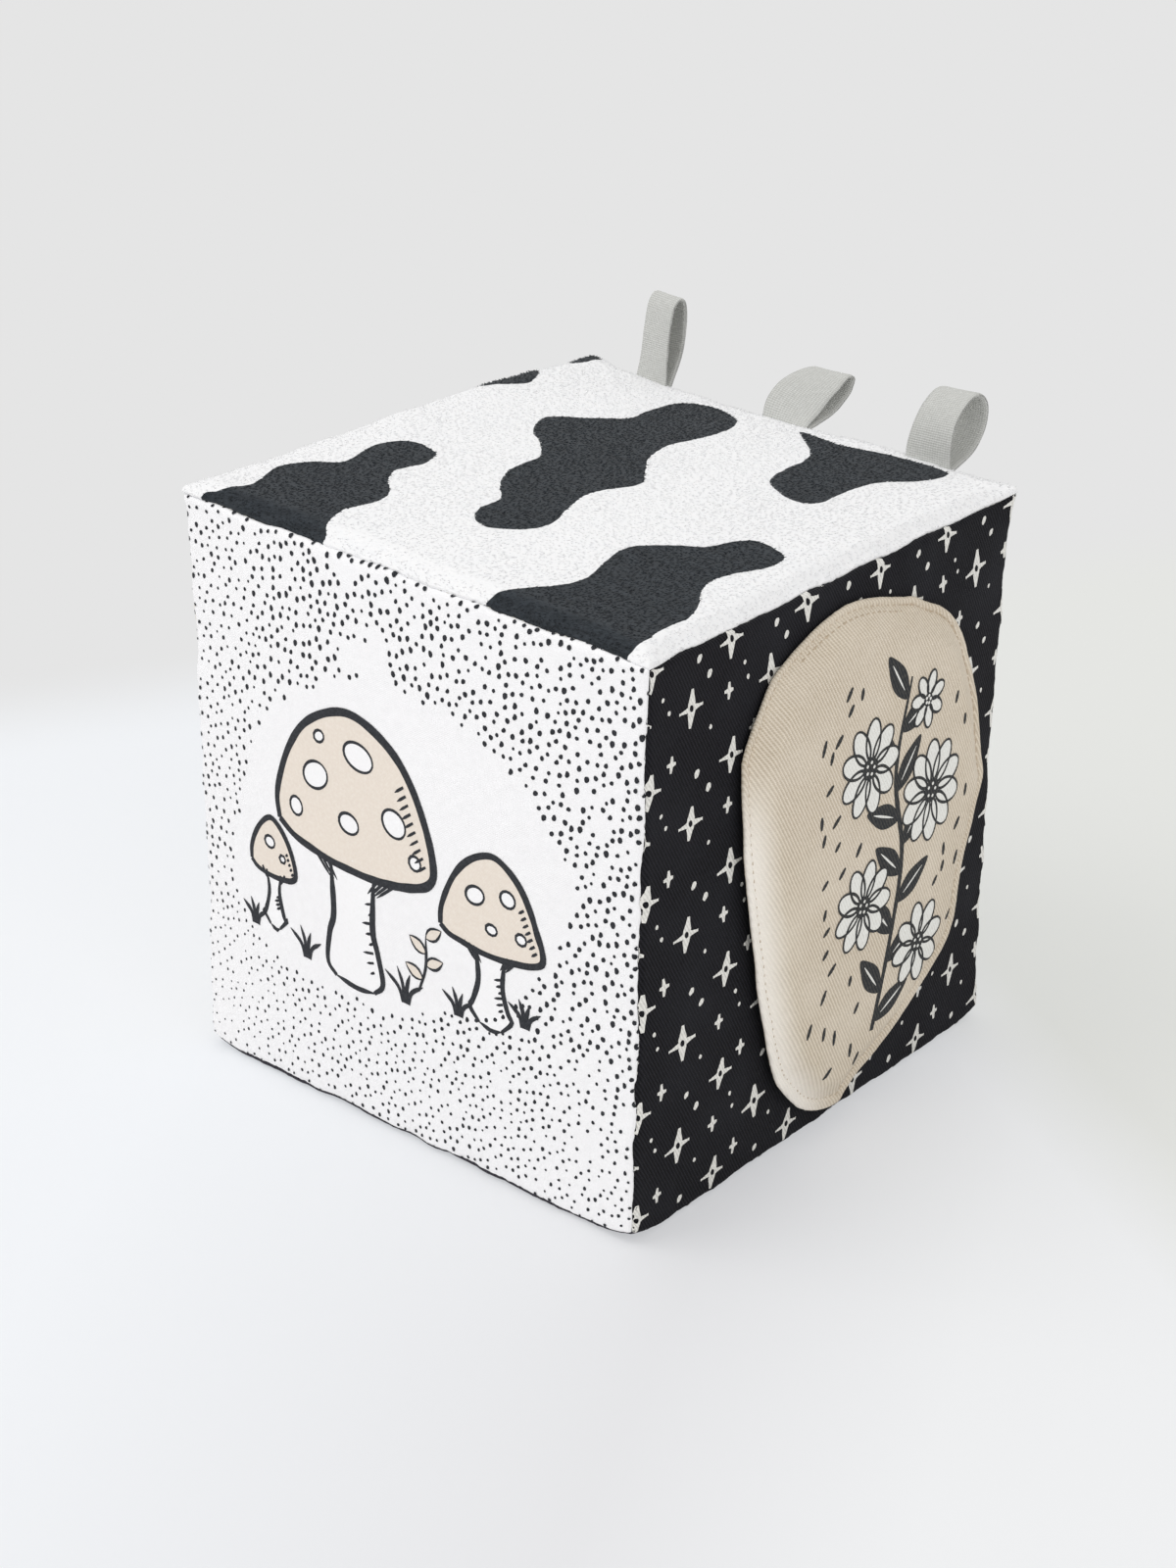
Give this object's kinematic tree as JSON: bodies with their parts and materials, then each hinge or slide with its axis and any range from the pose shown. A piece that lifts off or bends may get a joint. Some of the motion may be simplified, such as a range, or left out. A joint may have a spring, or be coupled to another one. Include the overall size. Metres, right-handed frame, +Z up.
{
  "type": "soft fabric activity block",
  "caption": "Soft foam cube in sewn fabric panels, with tape loops along a top edge and a padded lift-up flap on one face.",
  "frame": {"origin": "middle of the bottom face, on the floor", "axes": "+Z up; -Y out of the dotted white face; +X out of the starred face with the flap; the tape loops are on the top edge at +Y"},
  "size_m": [0.1488, 0.162, 0.1633],
  "materials": {
    "white_dotted_cotton": "plain-weave cotton printed with small charcoal dots",
    "black_star_twill": "black cotton twill with an off-white star print",
    "cow_plush": "short-pile white plush with black patches",
    "grey_cotton": "plain grey cotton",
    "cream_cotton": "plain cream cotton",
    "charcoal_twill": "charcoal cotton twill",
    "upholstery_foam": "open-cell foam",
    "sewing_thread": "spun polyester thread",
    "grey_tape": "woven grey cotton tape",
    "beige_twill": "beige cotton twill",
    "polyester_wadding": "polyester wadding",
    "beige_thread": "beige topstitch thread"
  },
  "bodies": {
    "block": {"front_panel": "white_dotted_cotton", "right_panel": "black_star_twill", "back_panel": "grey_cotton", "left_panel": "cream_cotton", "top_panel": "cow_plush", "bottom_panel": "charcoal_twill", "foam_core": "upholstery_foam", "seam_thread_top_front": "sewing_thread", "seam_thread_top_right": "sewing_thread", "seam_thread_top_back": "sewing_thread", "seam_thread_top_left": "sewing_thread", "seam_thread_bottom_front": "sewing_thread", "seam_thread_bottom_right": "sewing_thread", "seam_thread_bottom_back": "sewing_thread", "seam_thread_bottom_left": "sewing_thread", "seam_thread_front_right": "sewing_thread", "seam_thread_right_back": "sewing_thread", "seam_thread_back_left": "sewing_thread", "seam_thread_left_front": "sewing_thread", "tape_end_left_top": "grey_tape", "tape_end_left_back": "grey_tape", "tape_end_middle_top": "grey_tape", "tape_end_middle_back": "grey_tape", "tape_end_right_top": "grey_tape", "tape_end_right_back": "grey_tape", "flap_sewn_margin": "beige_twill", "flap_attaching_stitch": "beige_thread"},
    "flap": {"flap_front_cloth": "beige_twill", "flap_back_cloth": "beige_twill", "flap_wadding": "polyester_wadding", "flap_topstitch": "beige_thread"},
    "loop_left": {"tape_loop_left": "grey_tape"},
    "loop_middle": {"tape_loop_middle": "grey_tape"},
    "loop_right": {"tape_loop_right": "grey_tape"}
  },
  "joints": [
    {"name": "flap_fold", "type": "hinge", "parent": "block", "child": "flap", "pos_m": [0.07328, -0.00105, 0.12635], "axis": [0.0298, -0.9996, -0.0026], "range_deg": [0, 165]},
    {"name": "loop_left_bend", "type": "hinge", "parent": "block", "child": "loop_left", "pos_m": [-0.04606, 0.07176, 0.141], "axis": [0.9984, -0.0508, -0.0258], "range_deg": [-130, 13]},
    {"name": "loop_middle_bend", "type": "hinge", "parent": "block", "child": "loop_middle", "pos_m": [-0.00197, 0.0697, 0.14006], "axis": [0.9991, -0.0396, -0.0146], "range_deg": [-48, 83]},
    {"name": "loop_right_bend", "type": "hinge", "parent": "block", "child": "loop_right", "pos_m": [0.04212, 0.06823, 0.1397], "axis": [0.9996, -0.0284, -0.0034], "range_deg": [-75, 60]}
  ]
}
